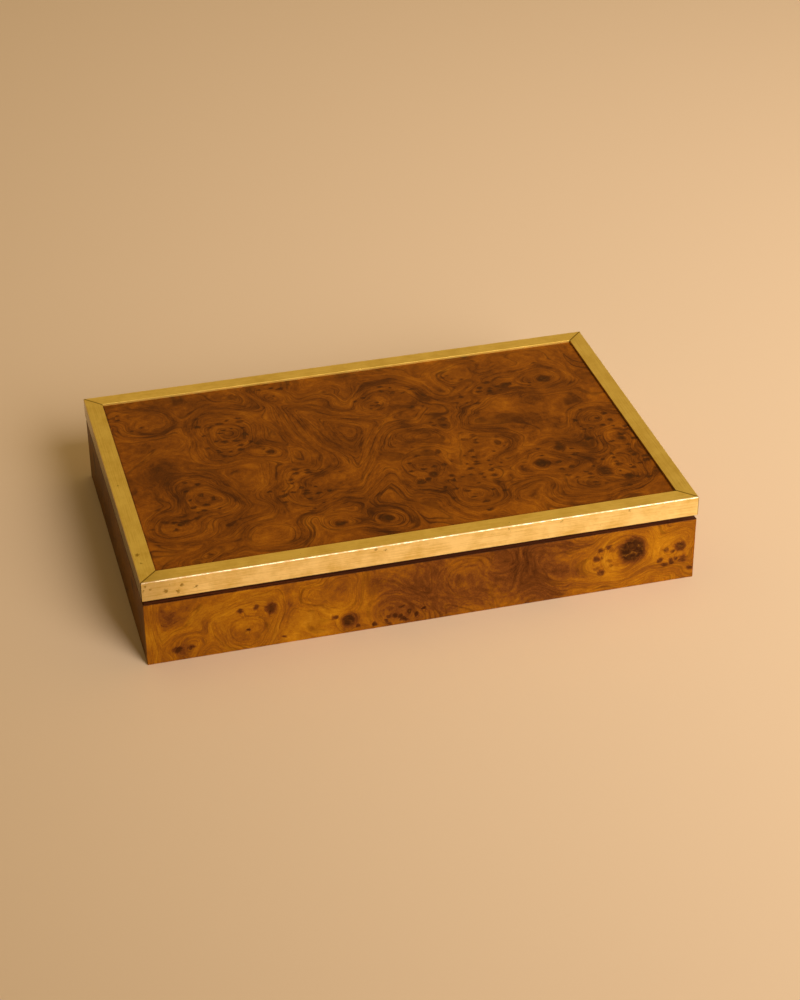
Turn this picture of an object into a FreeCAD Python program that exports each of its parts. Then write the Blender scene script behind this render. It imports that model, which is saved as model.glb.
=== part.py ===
"""Flat wooden box veneered in burl, with a hinged lid that is edged by a mitred brass angle frame.

Millimetres. The origin is the centre of the footprint on the table, +X runs along the length, the front faces
-Y and +Z is up. The lid stands off the base by a shadow gap, and two small brass hinges lie in that gap.
"""
import FreeCAD, Part
import math
import os

Vector = FreeCAD.Vector

# Overall sizes
LENGTH = 240.0            # outside of the brass frame, left to right
DEPTH = 156.0             # outside of the brass frame, front to rear
BODY_HEIGHT = 29.9        # table to the top of the base walls
LID_GAP = 2.1             # shadow gap between base walls and lid

# Brass angle frame of the lid
FRAME_LEG = 9.0           # height of the leg that covers the lid's edge
FRAME_FACE = 7.5          # width of the leg that lies on the burl panel
FRAME_SHEET = 1.0         # thickness of the brass
FRAME_ARRIS = 0.45        # radius of the outer bend
FRAME_BURR = 0.15         # radius left on the cut edges of both legs
FRAME_OVERHANG = 0.3      # how far the frame stands out past the base walls
MITRE_GAP = 0.25          # hairline left open at the four mitres

# Boards and veneers
VENEER = 0.7              # burl face veneer
BACKING_VENEER = 0.7      # straight-grained veneer that balances the lid board
EDGE_EASE = 0.3           # rounding of the veneered edges
WALL = 7.0                # wall core
BASE_BOARD = 4.0          # plywood bottom
BASE_REBATE = 3.5         # how far the bottom is let into the walls
BASE_FELT = 1.0           # felt let in flush under the bottom

# Inside of the tray
LINING = 2.5              # lining strips
LIP_ROUND = 0.8           # rounding of the lining's inner top edge
LIP_CLEARANCE = 0.15      # lining lip to the closed lid
FLOOR_FELT = 1.2          # felt on the floor of the tray
FELT_MARGIN = 0.3         # floor felt to the lining strips

# Hinges
HINGE_INSET = 50.0        # end of the box to the centre of a hinge
HINGE_LENGTH = 30.0
KNUCKLE_COUNT = 3         # knuckles of both leaves along one pin
KNUCKLE_CLEARANCE = 0.2   # knuckle to the wood above and below, and to the other leaf
KNUCKLE_SIDE_GAP = 0.1    # between neighbouring knuckles
LEAF_WIDTH = 6.2          # pin axis to the edge of a leaf
LEAF_SHEET = 0.6
LEAF_CORNER = 0.8         # rounding of a leaf's free corners
PIN_DIAMETER = 0.9
PIN_CLEARANCE = 0.03      # pin to the bore of the knuckles, radial
PIN_HEAD_RADIUS = 0.65
PIN_HEAD_HEIGHT = 0.3
OPEN_ANGLE = 100.0        # the lid leans back on the rear edge of the base just past this angle
STOP_MARGIN = 1.5         # degrees left before the lid touches that edge

# Countersunk hinge screws
SCREW_SPACING = 18.0      # two screws in each leaf
SCREW_INSET = 3.7         # pin axis to screw axis
SCREW_HEAD = 2.6          # head diameter
SCREW_SHANK = 1.5         # shank diameter
SCREW_LENGTH = 5.5
SCREW_POINT = 1.2         # length of the tapered tip
SCREW_SLOT_WIDTH = 0.4
SCREW_SLOT_DEPTH = 0.3
SCREW_FIT = 0.05          # screw to its hole, radial

# Worked out from the sizes above
BODY_LENGTH = LENGTH - 2 * FRAME_OVERHANG
BODY_DEPTH = DEPTH - 2 * FRAME_OVERHANG
CORE_LENGTH = BODY_LENGTH - 2 * VENEER
CORE_DEPTH = BODY_DEPTH - 2 * VENEER
BASE_TOP = BASE_FELT + BASE_BOARD
INSIDE_LENGTH = CORE_LENGTH - 2 * WALL
INSIDE_DEPTH = CORE_DEPTH - 2 * WALL
LID_UNDERSIDE = BODY_HEIGHT + LID_GAP
LID_TOP = LID_UNDERSIDE + FRAME_LEG
PANEL_TOP = LID_TOP - FRAME_SHEET
LID_LENGTH = LENGTH - 2 * FRAME_SHEET
LID_DEPTH = DEPTH - 2 * FRAME_SHEET
STOP_ANGLE = math.radians(OPEN_ANGLE + STOP_MARGIN)
AXIS_Z = BODY_HEIGHT + LID_GAP / 2
AXIS_Y = BODY_DEPTH / 2 - (LID_GAP / 2) / math.tan(STOP_ANGLE / 2)
KNUCKLE_RADIUS = LID_GAP / 2 - KNUCKLE_CLEARANCE
HINGE_CENTRES = {"left": HINGE_INSET - LENGTH / 2, "right": LENGTH / 2 - HINGE_INSET}
SIDES = ("front", "rear", "left", "right")


def block(length, depth, low, high):
    """A board centred on the origin in plan."""
    return Part.makeBox(length, depth, high - low, Vector(-length / 2, -depth / 2, low))


def profile_face(corners):
    """A square-cornered outline in the Y-Z plane, from (y, z, radius) corners in order."""
    points = [Vector(0, y, z) for y, z, _ in corners]
    radii = [radius for _, _, radius in corners]
    edges = []
    ends = []
    for index, here in enumerate(points):
        to_last = (points[index - 1] - here).normalize()
        to_next = (points[(index + 1) % len(points)] - here).normalize()
        start = here + to_last * radii[index]
        end = here + to_next * radii[index]
        if radii[index]:
            middle = here + (to_last + to_next) * radii[index] * (1 - math.sqrt(0.5))
            edges.append(Part.Arc(start, middle, end).toShape())
        ends.append((start, end))
    for index, (_, end) in enumerate(ends):
        next_start = ends[(index + 1) % len(ends)][0]
        edges.append(Part.LineSegment(end, next_start).toShape())
    return Part.Face(Part.Wire(Part.__sortEdges__(edges)))


def mitred_strip(corners, run, gap=0.0):
    """A strip of that section along X, `run` long at its outer face y = 0, both ends cut at 45 degrees."""
    reach = max(y for y, _, _ in corners)
    low = min(z for _, z, _ in corners)
    high = max(z for _, z, _ in corners)
    half = run / 2 - gap / math.sqrt(2)
    plan = [
        Vector(-half, 0, low),
        Vector(half, 0, low),
        Vector(half - reach, reach, low),
        Vector(-half + reach, reach, low),
    ]
    wedge = Part.Face(Part.makePolygon(plan + plan[:1])).extrude(Vector(0, 0, high - low))
    bar = profile_face(corners).extrude(Vector(run, 0, 0))
    bar.translate(Vector(-run / 2, 0, 0))
    return bar.common(wedge).Solids[0]


def on_side(shape, side, length, depth):
    """Turns a piece that was made with its outer face at y = 0 onto one side of a rectangle."""
    turn = {"front": 0, "rear": 180, "left": -90, "right": 90}[side]
    shift = {
        "front": Vector(0, -depth / 2, 0),
        "rear": Vector(0, depth / 2, 0),
        "left": Vector(-length / 2, 0, 0),
        "right": Vector(length / 2, 0, 0),
    }[side]
    placed = shape.copy()
    placed.rotate(Vector(0, 0, 0), Vector(0, 0, 1), turn)
    placed.translate(shift)
    return placed


def mitred_ring(corners, length, depth, gap=0.0):
    """Four strips of one section round a rectangle, by side."""
    runs = {"front": length, "rear": length, "left": depth, "right": depth}
    return {
        side: on_side(mitred_strip(corners, runs[side], gap), side, length, depth)
        for side in SIDES
    }


# Base walls, bottom and lining

def wall_cores():
    """Four mitred wall cores, rebated inside at the bottom for the base board and its felt."""
    shoulder = WALL - BASE_REBATE
    section = [
        (0, 0, 0),
        (shoulder, 0, 0),
        (shoulder, BASE_TOP, 0),
        (WALL, BASE_TOP, 0),
        (WALL, BODY_HEIGHT, 0),
        (0, BODY_HEIGHT, 0),
    ]
    return mitred_ring(section, CORE_LENGTH, CORE_DEPTH)


def wall_veneers():
    """Burl veneers on the four walls: the front and rear ones lap over the ends of the side ones."""
    veneers = {}
    for side in SIDES:
        long_side = side in ("front", "rear")
        run = BODY_LENGTH if long_side else CORE_DEPTH
        sheet = Part.makeBox(run, VENEER, BODY_HEIGHT, Vector(-run / 2, 0, 0))
        eased = [
            edge
            for edge in sheet.Edges
            if all(abs(vertex.Y) < 1e-6 for vertex in edge.Vertexes)
            and (long_side or abs(edge.Vertexes[0].Z - edge.Vertexes[1].Z) < 1e-6)
        ]
        sheet = sheet.makeFillet(min(EDGE_EASE, 0.45 * VENEER), eased)
        veneers[side] = on_side(sheet, side, BODY_LENGTH, BODY_DEPTH)
    return veneers


def base_board():
    return block(INSIDE_LENGTH + 2 * BASE_REBATE, INSIDE_DEPTH + 2 * BASE_REBATE, BASE_FELT, BASE_TOP)


def base_felt():
    return block(INSIDE_LENGTH + 2 * BASE_REBATE, INSIDE_DEPTH + 2 * BASE_REBATE, 0, BASE_FELT)


def lining_strips():
    """Mitred lining strips that stand on the base board. Their lip rises through the gap and carries the lid."""
    lip = LID_UNDERSIDE - LIP_CLEARANCE
    section = [
        (0, BASE_TOP, 0),
        (LINING, BASE_TOP, 0),
        (LINING, lip, min(LIP_ROUND, 0.45 * LINING)),
        (0, lip, 0),
    ]
    return mitred_ring(section, INSIDE_LENGTH, INSIDE_DEPTH)


def floor_felt():
    inset = 2 * (LINING + FELT_MARGIN)
    return block(INSIDE_LENGTH - inset, INSIDE_DEPTH - inset, BASE_TOP, BASE_TOP + FLOOR_FELT)


# Lid

def brass_frame():
    """Four brass angles: one leg lies on the burl panel, the other covers the edge of the lid board."""
    section = [
        (0, LID_UNDERSIDE, FRAME_BURR),
        (FRAME_SHEET, LID_UNDERSIDE, FRAME_BURR),
        (FRAME_SHEET, PANEL_TOP, 0),
        (FRAME_FACE, PANEL_TOP, 0),
        (FRAME_FACE, LID_TOP, FRAME_BURR),
        (0, LID_TOP, FRAME_ARRIS),
    ]
    return mitred_ring(section, LENGTH, DEPTH, MITRE_GAP)


def lid_panel():
    return block(LID_LENGTH, LID_DEPTH, PANEL_TOP - VENEER, PANEL_TOP)


def lid_board():
    return block(LID_LENGTH, LID_DEPTH, LID_UNDERSIDE + BACKING_VENEER, PANEL_TOP - VENEER)


def lid_backing():
    return block(LID_LENGTH, LID_DEPTH, LID_UNDERSIDE, LID_UNDERSIDE + BACKING_VENEER)


# Hinges

def along_x(radius, start, end):
    """A cylinder on the hinge axis between two places along X."""
    return Part.makeCylinder(radius, end - start, Vector(start, AXIS_Y, AXIS_Z), Vector(1, 0, 0))


def knuckle_spans(centre, first):
    """The (start, end) of every second knuckle along the pin, beginning with the one numbered `first`."""
    pitch = HINGE_LENGTH / KNUCKLE_COUNT
    left_end = centre - HINGE_LENGTH / 2
    return [
        (left_end + number * pitch, left_end + (number + 1) * pitch)
        for number in range(first, KNUCKLE_COUNT, 2)
    ]


def screw_places(centre):
    """X of the two screws in a leaf."""
    return (centre - SCREW_SPACING / 2, centre + SCREW_SPACING / 2)


def screw_body(margin=0.0):
    """A countersunk screw with its flat head at z = 0 and its point down; `margin` gives the hole for it."""
    head = SCREW_HEAD / 2 + margin
    shank = SCREW_SHANK / 2 + margin
    outline = [
        Vector(0, 0, 0),
        Vector(head, 0, 0),
        Vector(shank, 0, shank - head),
        Vector(shank, 0, SCREW_POINT - SCREW_LENGTH),
        Vector(0, 0, -SCREW_LENGTH - margin),
    ]
    half_section = Part.Face(Part.makePolygon(outline + outline[:1]))
    return half_section.revolve(Vector(0, 0, 0), Vector(0, 0, 1), 360)


def screw():
    slot = Part.makeBox(
        SCREW_HEAD,
        SCREW_SLOT_WIDTH,
        SCREW_SLOT_DEPTH,
        Vector(-SCREW_HEAD / 2, -SCREW_SLOT_WIDTH / 2, -SCREW_SLOT_DEPTH),
    )
    return screw_body().cut(slot)


def in_base(shape, place):
    """A screw, or the hole for one, set down through a base leaf."""
    placed = shape.copy()
    placed.translate(Vector(place, AXIS_Y - SCREW_INSET, BODY_HEIGHT + LEAF_SHEET))
    return placed


def in_lid(shape, place):
    """A screw, or the hole for one, set up through a lid leaf."""
    placed = shape.copy()
    placed.rotate(Vector(0, 0, 0), Vector(1, 0, 0), 180)
    placed.translate(Vector(place, AXIS_Y - SCREW_INSET, LID_UNDERSIDE - LEAF_SHEET))
    return placed


def leaf_plate(centre, low):
    """The flat of a leaf, its two free corners rounded."""
    plate = Part.makeBox(
        HINGE_LENGTH,
        LEAF_WIDTH,
        LEAF_SHEET,
        Vector(centre - HINGE_LENGTH / 2, AXIS_Y - LEAF_WIDTH, low),
    )
    free_corners = [
        edge
        for edge in plate.Edges
        if all(abs(vertex.Y - (AXIS_Y - LEAF_WIDTH)) < 1e-6 for vertex in edge.Vertexes)
        and abs(edge.Vertexes[0].X - edge.Vertexes[1].X) < 1e-6
    ]
    return plate.makeFillet(LEAF_CORNER, free_corners)


def hinge_leaf(centre, low, first, other_first, set_screw):
    """One leaf: a flat plate, its own rolled knuckles, and notches that clear the other leaf's knuckles."""
    leaf = leaf_plate(centre, low)
    notch_depth = KNUCKLE_RADIUS + KNUCKLE_CLEARANCE
    for start, end in knuckle_spans(centre, other_first):
        notch = Part.makeBox(
            end - start,
            notch_depth,
            LEAF_SHEET,
            Vector(start, AXIS_Y - notch_depth, low),
        )
        leaf = leaf.cut(notch)
    for start, end in knuckle_spans(centre, first):
        leaf = leaf.fuse(along_x(KNUCKLE_RADIUS, start + KNUCKLE_SIDE_GAP, end - KNUCKLE_SIDE_GAP))
    bore = along_x(PIN_DIAMETER / 2 + PIN_CLEARANCE, centre - HINGE_LENGTH, centre + HINGE_LENGTH)
    leaf = leaf.cut(bore)
    for place in screw_places(centre):
        leaf = leaf.cut(set_screw(screw_body(SCREW_FIT), place))
    return leaf.removeSplitter().Solids[0]


def hinge_pin(centre):
    """The pin, with a low head peened over each end knuckle."""
    radius = PIN_DIAMETER / 2
    half = HINGE_LENGTH / 2 - KNUCKLE_SIDE_GAP + PIN_CLEARANCE
    tip = half + PIN_HEAD_HEIGHT
    outline = [
        Vector(-tip, 0, 0),
        Vector(tip, 0, 0),
        Vector(half, PIN_HEAD_RADIUS, 0),
        Vector(half, radius, 0),
        Vector(-half, radius, 0),
        Vector(-half, PIN_HEAD_RADIUS, 0),
    ]
    half_section = Part.Face(Part.makePolygon(outline + outline[:1]))
    pin = half_section.revolve(Vector(0, 0, 0), Vector(1, 0, 0), 360)
    pin.translate(Vector(centre, AXIS_Y, AXIS_Z))
    return pin


def drilled(board, set_screw):
    """A board with the pilot holes for the hinge screws."""
    for centre in HINGE_CENTRES.values():
        for place in screw_places(centre):
            board = board.cut(set_screw(screw_body(SCREW_FIT), place))
    return board.Solids[0]


def screws(set_screw):
    """All the screws in one half of the box, as separate solids."""
    return Part.makeCompound(
        [set_screw(screw(), place) for centre in HINGE_CENTRES.values() for place in screw_places(centre)]
    )


def assembly():
    """Every piece by the name of its node."""
    pieces = {f"{side}_wall": core for side, core in wall_cores().items()}
    pieces["rear_wall"] = drilled(pieces["rear_wall"], in_base)
    pieces.update({f"{side}_wall_veneer": veneer for side, veneer in wall_veneers().items()})
    pieces["base_board"] = base_board()
    pieces["base_felt"] = base_felt()
    pieces.update({f"{side}_lining": strip for side, strip in lining_strips().items()})
    pieces["floor_felt"] = floor_felt()
    pieces["lid_board"] = drilled(lid_board(), in_lid)
    pieces["lid_burl_panel"] = lid_panel()
    pieces["lid_backing_veneer"] = drilled(lid_backing(), in_lid)
    pieces.update({f"{side}_brass_edge": edge for side, edge in brass_frame().items()})
    for side, centre in HINGE_CENTRES.items():
        pieces[f"{side}_hinge_base_leaf"] = hinge_leaf(centre, BODY_HEIGHT, 0, 1, in_base)
        pieces[f"{side}_hinge_lid_leaf"] = hinge_leaf(centre, LID_UNDERSIDE - LEAF_SHEET, 1, 0, in_lid)
        pieces[f"{side}_hinge_pin"] = hinge_pin(centre)
    pieces["base_hinge_screws"] = screws(in_base)
    pieces["lid_hinge_screws"] = screws(in_lid)
    return pieces


os.makedirs("parts", exist_ok=True)
for name, shape in assembly().items():
    shape.exportStep(f"parts/{name}.step")
print(f"hinge axis y {AXIS_Y:.4f} z {AXIS_Z:.4f}, lid top {LID_TOP:.2f}")
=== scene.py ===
"""Burl-veneered box with a brass-framed lid: the finish of every piece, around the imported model.

Metres, in the model's own frame: +X along the length, the front faces -Y, +Z up. Pattern sizes are in
millimetres, because each pattern reads the piece's Object coordinates times 1000.
"""
import math
import random

import bpy
from mathutils import Matrix, Vector


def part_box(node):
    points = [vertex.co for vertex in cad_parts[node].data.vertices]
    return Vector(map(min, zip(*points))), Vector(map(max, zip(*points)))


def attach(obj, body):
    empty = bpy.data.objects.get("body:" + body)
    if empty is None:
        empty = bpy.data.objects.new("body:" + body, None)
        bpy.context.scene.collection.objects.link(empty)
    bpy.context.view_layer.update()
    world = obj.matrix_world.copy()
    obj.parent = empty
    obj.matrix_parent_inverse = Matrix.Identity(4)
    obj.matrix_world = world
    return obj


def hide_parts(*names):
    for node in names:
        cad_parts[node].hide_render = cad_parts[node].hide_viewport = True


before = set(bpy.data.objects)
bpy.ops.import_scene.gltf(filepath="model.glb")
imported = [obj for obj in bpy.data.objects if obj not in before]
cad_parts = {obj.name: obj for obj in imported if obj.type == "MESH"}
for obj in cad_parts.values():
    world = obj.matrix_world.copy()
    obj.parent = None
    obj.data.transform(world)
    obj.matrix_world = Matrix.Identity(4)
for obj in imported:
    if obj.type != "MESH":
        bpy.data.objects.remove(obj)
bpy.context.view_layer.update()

# Camera
# A long lens from the front left, looking down on the lid. Its place was fitted to the corners of the box.
CAMERA_AZIMUTH = math.radians(-14.85)
CAMERA_ELEVATION = math.radians(32.24)
CAMERA_ROLL = math.radians(-0.53)
CAMERA_DISTANCE = 0.9999
CAMERA_TARGET = Vector((0.0055, -0.0134, 0.020))
CAMERA_LENS_MM = 81.35
CAMERA_SENSOR_MM = 36

backward = Vector((
    math.sin(CAMERA_AZIMUTH) * math.cos(CAMERA_ELEVATION),
    -math.cos(CAMERA_AZIMUTH) * math.cos(CAMERA_ELEVATION),
    math.sin(CAMERA_ELEVATION),
))
level_right = Vector((math.cos(CAMERA_AZIMUTH), math.sin(CAMERA_AZIMUTH), 0))
level_up = backward.cross(level_right)
rightward = level_right * math.cos(CAMERA_ROLL) + level_up * math.sin(CAMERA_ROLL)
upward = level_up * math.cos(CAMERA_ROLL) - level_right * math.sin(CAMERA_ROLL)
turn = Matrix((rightward, upward, backward)).transposed().to_4x4()
bpy.ops.object.camera_add()
camera = bpy.context.object
camera.name = "view_camera"
camera.data.lens = CAMERA_LENS_MM
camera.data.sensor_width = CAMERA_SENSOR_MM
camera.matrix_world = Matrix.Translation(CAMERA_TARGET + backward * CAMERA_DISTANCE) @ turn
scene = bpy.context.scene
scene.camera = camera
scene.view_settings.view_transform = "Standard"


# Table top
# A board with rolled-on matt paint, pale peach: a soft, even surface that takes a shadow and shows no gloss.
# One plane, wide enough to fill the frame.
def linear(hex_colour):
    """An sRGB hex colour as the linear RGBA that a shader takes."""
    channels = [int(hex_colour[i:i + 2], 16) / 255 for i in (1, 3, 5)]
    return [c / 12.92 if c <= 0.04045 else ((c + 0.055) / 1.055) ** 2.4 for c in channels] + [1]


def put(tree, kind, inputs=None, stops=None, **settings):
    """Adds a node to a tree: its settings, its sockets' values or links, and a ramp's colour stops."""
    node = tree.nodes.new(kind)
    for name, value in settings.items():
        setattr(node, name, value)
    for socket, value in (inputs or {}).items():
        if isinstance(value, bpy.types.NodeSocket):
            tree.links.new(value, node.inputs[socket])
        else:
            node.inputs[socket].default_value = value
    for index, (place, colour) in enumerate(stops or []):
        elements = node.color_ramp.elements
        element = elements[index] if index < len(elements) else elements.new(place)
        element.position = place
        element.color = linear(colour)
    return node


def new_material(name):
    """An empty material with its shader: returns the material, its tree and the Principled node."""
    material = bpy.data.materials.new(name)
    material.use_nodes = True
    return material, material.node_tree, material.node_tree.nodes["Principled BSDF"]


def millimetres(tree):
    """The piece's Object coordinates in millimetres."""
    place = put(tree, "ShaderNodeTexCoord")
    return put(tree, "ShaderNodeVectorMath", {0: place.outputs["Object"], 1: (1000, 1000, 1000)},
               operation="MULTIPLY").outputs[0]


TABLE_SIZE = 40.0
TABLE_COLOUR = "#E3C3A2"
TABLE_GRAIN_MM = 1.2      # orange-peel of a rolled paint, drawn coarse enough to show

bpy.ops.object.select_all(action="DESELECT")
bpy.ops.mesh.primitive_plane_add(size=TABLE_SIZE)
table = bpy.context.object
table.name = "table_top"
paint, tree, shader = new_material("matt painted board")
grain = put(tree, "ShaderNodeTexNoise",
            {"Vector": millimetres(tree), "Scale": 1 / TABLE_GRAIN_MM, "Detail": 2})
bump = put(tree, "ShaderNodeBump", {"Height": grain.outputs[0], "Strength": 0.04, "Distance": 0.0001})
tree.links.new(bump.outputs[0], shader.inputs["Normal"])
shader.inputs["Base Color"].default_value = linear(TABLE_COLOUR)
shader.inputs["Roughness"].default_value = 0.75
shader.inputs["Specular IOR Level"].default_value = 0.2
table.data.materials.append(paint)

# Light
# One large soft window to the right, and a warm room, bright to the right and behind and dim to the left.
KEY_PLACE = Vector((0.74, -1.19, 0.89))
KEY_AIM = Vector((0.57, 0.05, 0.0))      # past the box to the right, so the light fades towards the left
KEY_SIZE = 1.25
KEY_POWER = 10.8
KEY_SPREAD = math.radians(72)
KEY_COLOUR = "#FFFCF8"
ROOM_BRIGHT = "#BFAB77"
ROOM_DIM = "#1E1912"
ROOM_BRIGHT_SIDE = Vector((0.50, 0.68, 0.53)).normalized()
ROOM_DIM_BELOW = -0.6                    # cosines of the angle to the bright side
ROOM_BRIGHT_ABOVE = 0.95

bpy.ops.object.light_add(type="AREA", location=KEY_PLACE)
key = bpy.context.object
key.name = "key_window"
key.rotation_euler = (KEY_PLACE - KEY_AIM).to_track_quat("Z", "Y").to_euler()
key.data.shape = "SQUARE"
key.data.size = KEY_SIZE
key.data.spread = KEY_SPREAD
key.data.energy = KEY_POWER
key.data.color = linear(KEY_COLOUR)[:3]

room = bpy.data.worlds.new("warm room")
scene.world = room
room.use_nodes = True
tree = room.node_tree
direction = put(tree, "ShaderNodeTexCoord").outputs["Generated"]
facing = put(tree, "ShaderNodeVectorMath", {0: direction, 1: ROOM_BRIGHT_SIDE}, operation="DOT_PRODUCT")
share = put(tree, "ShaderNodeMapRange",
            {"Value": facing.outputs["Value"], "From Min": ROOM_DIM_BELOW, "From Max": ROOM_BRIGHT_ABOVE},
            interpolation_type="SMOOTHSTEP")
room_colour = put(tree, "ShaderNodeMix",
                  {0: share.outputs[0], 6: linear(ROOM_DIM), 7: linear(ROOM_BRIGHT)}, data_type="RGBA")
tree.links.new(room_colour.outputs[2], tree.nodes["Background"].inputs["Color"])
tree.nodes["Background"].inputs["Strength"].default_value = 1.0

# Wall cores and base board
# Plain boards under the veneer: beech walls, mitred and glued, and a birch plywood base let in below. Only
# the tops of the walls show, in the shadow gap, where their dark brown, painted shade, makes them read as
# one line.
GRAIN_DRAWN_OUT = 0.03    # how much slower the grain changes along a board than across it
PORES_PER_RING = 5
BOARD_PORE_SHARE = 0.35


def stained_wood(name, dark, light, along, ring_mm, roughness):
    """Straight-grained board: long growth lines along one axis, with pores and a satin or bare surface."""
    material, tree, shader = new_material(name)
    place = millimetres(tree)
    stretch = [GRAIN_DRAWN_OUT if axis == along else 1 for axis in "XYZ"]
    drawn = put(tree, "ShaderNodeVectorMath", {0: place, 1: stretch}, operation="MULTIPLY").outputs[0]
    rings = put(tree, "ShaderNodeTexNoise",
                {"Vector": drawn, "Scale": 1 / ring_mm, "Detail": 4, "Roughness": 0.6})
    pores = put(tree, "ShaderNodeTexNoise",
                {"Vector": drawn, "Scale": PORES_PER_RING / ring_mm, "Detail": 2})
    mixed = put(tree, "ShaderNodeMath", {0: pores.outputs[0], 1: BOARD_PORE_SHARE, 2: rings.outputs[0]},
                operation="MULTIPLY_ADD")
    colour = put(tree, "ShaderNodeValToRGB", {0: mixed.outputs[0]}, stops=[(0.45, dark), (0.9, light)])
    bump = put(tree, "ShaderNodeBump", {"Height": pores.outputs[0], "Strength": 0.15, "Distance": 0.0001})
    tree.links.new(colour.outputs[0], shader.inputs["Base Color"])
    tree.links.new(bump.outputs[0], shader.inputs["Normal"])
    shader.inputs["Roughness"].default_value = roughness
    return material


def finish_node(name, material):
    """Gives a node of the model its finish."""
    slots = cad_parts[name].data.materials
    slots.clear()
    slots.append(material)


SIDES = ("front", "rear", "left", "right")
# The dark brown of the wall cores is painted shade in the gap under the lid.
WALL_GAP_SHADE = stained_wood("beech edge, darkened as painted gap shade", "#421A02", "#6A3006", "X", ring_mm=3.0, roughness=0.6)
PLYWOOD = stained_wood("birch plywood", "#A88055", "#CBA878", "X", ring_mm=4.0, roughness=0.7)
for side in SIDES:
    finish_node(f"{side}_wall", WALL_GAP_SHADE)
finish_node("base_board", PLYWOOD)

# Burl veneer of the walls
# Sliced elm burl glued over the cores and lacquered to a low sheen. Growth lines wind round eyes and round
# clusters of dark buds, with honey-coloured flames between them. Each wall is a leaf with its own eyes.
BEND_MM = 26              # slow bends of the growth, and how far they carry it
BEND_REACH_MM = 12
RIPPLE_MM = 9             # quicker ripples on the bends
CURL_MM = 5               # small curls, which make buds and knots irregular
CURL_REACH_MM = 3.0
FRAY_MM = 1.6             # the frayed edges of buds and knots
FRAY_REACH_MM = 1.4
GROWTH_MM = 40            # the plain growth between the eyes
GROWTH_RANGE = 1.4
EYE_FLAT = 0.25           # shares of an eye's reach: its level top, and where its last ring ends
EYE_FOOT = 1.45
MOAT_EYE_MM = 11          # an eye that reaches further than this has a dark ring round it
SWIRL_BEND_MM = 24        # the bends in a swirl's straight sides
SWIRL_BEND_REACH_MM = 5
SWIRL_CORNER_MM = 5       # how round a swirl's corners are
KNOT_FOOT = 2.6           # how far the rings round a knot go, in radii
KNOT_RISE_PER_MM = 0.3    # how much growth a knot adds for its radius, up to a limit
KNOT_RISE_MOST = 0.9
KNOT_SOFT_INSIDE_MM = 1.2     # how far a large knot's edge fades inwards and outwards,
KNOT_SOFT_OUTSIDE_MM = 0.5
KNOT_STAIN_MM = 3             # and how far its stain goes beyond it
BUD_SPACING_MM = 3.4
BUD_LENGTHENED = 0.7      # buds are a little longer than wide
BAND_LENGTH_MM = 26       # how soon bands, dark lines and fibres change along a ring,
BANDS_PER_GROWTH = 3.6    # and how many there are over one unit of growth
LINE_LENGTH_MM = 42
LINES_PER_GROWTH = 6
FIBRE_LENGTH_MM = 3.5
FIBRES_PER_GROWTH = 16
CLOUD_MM = 24             # cloudy paler and darker patches
PORE_MM = 0.7             # pores, drawn coarse enough to show
BLUSH_MM = 14             # reddish patches
PITH_MM = 1.8             # the broken wood inside a knot
FIBRE_SHARE = 0.6         # how much fibres, clouds and pores add to the tone
CLOUD_SHARE = 0.35
PORE_SHARE = 0.3
LINE_COLOUR = "#3A1803"
HEARTWOOD = [(0.40, "#2A1404"), (0.58, "#4C280A"), (0.70, "#7C4C12")]


def drift(tree, start, size_mm, reach_mm):
    """The place moved about by a soft noise, which makes rings irregular."""
    noise = put(tree, "ShaderNodeTexNoise", {"Vector": start, "Scale": 1 / size_mm, "Detail": 1.5})
    centred = put(tree, "ShaderNodeVectorMath", {0: noise.outputs["Color"], 1: (0.5, 0.5, 0.5)},
                  operation="SUBTRACT")
    return put(tree, "ShaderNodeVectorMath", {0: centred.outputs[0], 1: (reach_mm, reach_mm, 0), 2: start},
               operation="MULTIPLY_ADD").outputs[0]


def hill(tree, place, centre, inner, outer, height):
    """A soft round hill of that height: full inside one radius, nothing outside the other."""
    away = put(tree, "ShaderNodeVectorMath", {0: place, 1: (*centre, 0)}, operation="DISTANCE")
    return put(tree, "ShaderNodeMapRange",
               {"Value": away.outputs["Value"], "From Min": inner, "From Max": outer,
                "To Min": height, "To Max": 0},
               interpolation_type="SMOOTHSTEP").outputs[0]


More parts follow.
